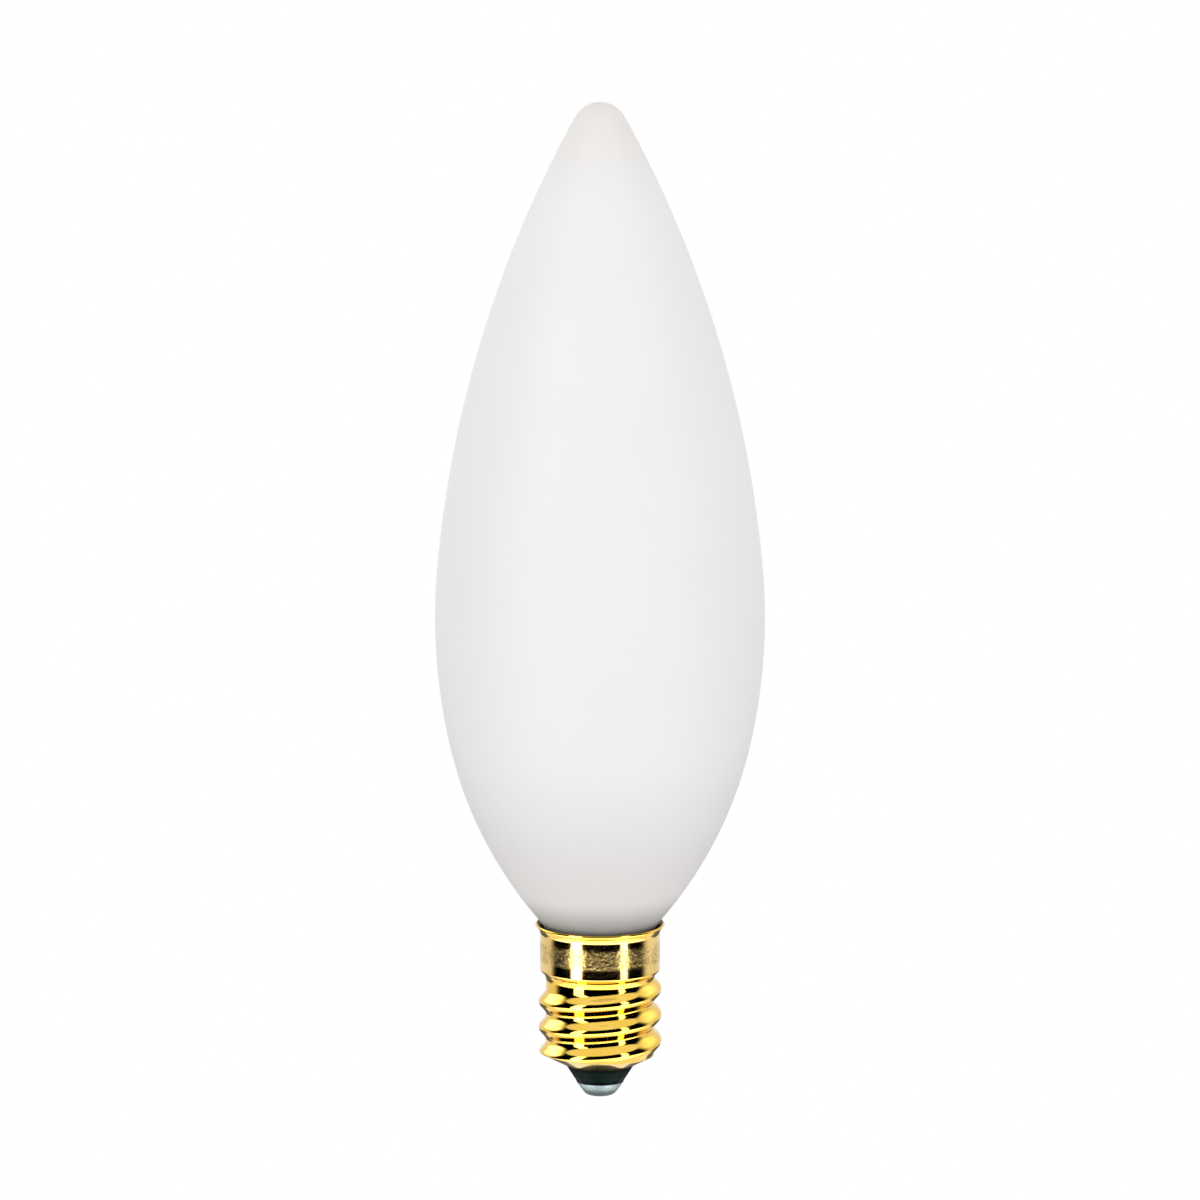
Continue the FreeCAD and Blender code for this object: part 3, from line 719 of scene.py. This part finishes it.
def make_room():
    """A world of light by direction: one for the soft light on the glass, one for what the brass mirrors."""
    world = bpy.data.worlds.new("studio")
    bpy.context.scene.world = world
    world.use_nodes = True
    world.cycles.sampling_method = "NONE"
    tree = world.node_tree
    tree.nodes.clear()
    direction = add(tree, "ShaderNodeTexCoord").outputs["Generated"]
    axes = add(tree, "ShaderNodeSeparateXYZ", {0: direction}).outputs
    side = calc(tree, "ARCTAN2", axes["X"], calc(tree, "MULTIPLY", axes["Y"], -1.0))
    rise = calc(tree, "ARCSINE", axes["Z"])
    path = add(tree, "ShaderNodeLightPath").outputs

    def beam(sides, heights):
        return calc(tree, "MULTIPLY", between(tree, side, *sides), between(tree, rise, *heights))

    def up_the_wall(low, high, from_value=0.0, to_value=1.0):
        return spread(tree, rise, math.radians(low), math.radians(high), from_value, to_value)

    ahead = between(tree, side, *FLOOR_AHEAD)
    floor_light = spread(tree, ahead, 0.0, 1.0, FLOOR_GLOW_BEHIND, FLOOR_GLOW_AHEAD)
    above_floor = up_the_wall(*FLOOR_EDGE)
    mirrored = add(tree, "ShaderNodeMix", {"Factor": above_floor, 2: floor_light, 3: WALL_GLOW}).outputs[0]
    mirrored = calc(tree, "MAXIMUM", mirrored, up_the_wall(*CEILING_EDGE))
    below = calc(tree, "MULTIPLY", beam(*DARK_BELOW), DARK_BELOW_SHARE)
    front = calc(tree, "MAXIMUM", beam(*DARK_FRONT), below)
    mirrored = calc(tree, "MULTIPLY", mirrored, spread(tree, front, 0.0, 1.0, 1.0, 0.0))
    forward = between(tree, side, *NOT_BEHIND)
    behind = spread(tree, forward, 0.0, 1.0, DARK_BEHIND_SHARE, 0.0)
    behind = calc(tree, "MULTIPLY", behind, between(tree, rise, *DARK_BEHIND))
    mirrored = calc(tree, "MULTIPLY", mirrored, calc(tree, "SUBTRACT", 1.0, behind))
    for sides, heights, strength in (TALL_LEFT_LIGHT, FAR_LEFT_LIGHT, FAR_RIGHT_LIGHT, TALL_RIGHT_LIGHT):
        mirrored = calc(tree, "MULTIPLY_ADD", beam(sides, heights), strength, mirrored)

    even = up_the_wall(-25, 0, 0.72, 1.2)
    front_and_back = calc(tree, "MULTIPLY", axes["Y"], axes["Y"])
    even = calc(tree, "MULTIPLY", even, calc(tree, "MULTIPLY_ADD", front_and_back, 0.52, 0.75))
    even = calc(tree, "MULTIPLY", even, up_the_wall(35, 60, 1.0, 0.7))
    light = add(tree, "ShaderNodeMix", {"Factor": path["Is Diffuse Ray"], 2: mirrored, 3: even}).outputs[0]
    strength = add(tree, "ShaderNodeMix", {"Factor": path["Is Camera Ray"], 2: light, 3: 1.0}).outputs[0]
    room = add(tree, "ShaderNodeBackground", {"Color": (1, 1, 1, 1), "Strength": strength})
    out = tree.nodes.new("ShaderNodeOutputWorld")
    tree.links.new(room.outputs[0], out.inputs["Surface"])


make_room()

# Camera. A long lens four metres in front of the lamp, looking down by twelve degrees at its waist. The
# frame is 115 mm wide at the lamp, so the lamp fills most of its height.

CAMERA_DISTANCE = 4.0
CAMERA_RISE = math.radians(12)
FRAME_WIDTH = 0.1154
AIM_HEIGHT = 0.0487
SENSOR_MM = 36.0
NEAREST = 0.05
FURTHEST = 20.0


def make_camera():
    scene = bpy.context.scene
    lens = bpy.data.cameras.new("camera")
    lens.sensor_width = SENSOR_MM
    lens.lens = SENSOR_MM * CAMERA_DISTANCE / FRAME_WIDTH
    lens.clip_start = NEAREST
    lens.clip_end = FURTHEST
    camera = bpy.data.objects.new("camera", lens)
    camera.location = (
        0,
        -CAMERA_DISTANCE * math.cos(CAMERA_RISE),
        AIM_HEIGHT + CAMERA_DISTANCE * math.sin(CAMERA_RISE),
    )
    camera.rotation_euler = (math.pi / 2 - CAMERA_RISE, 0, 0)
    scene.collection.objects.link(camera)
    scene.camera = camera
    scene.view_settings.view_transform = "Standard"
    scene.view_settings.look = "None"


make_camera()
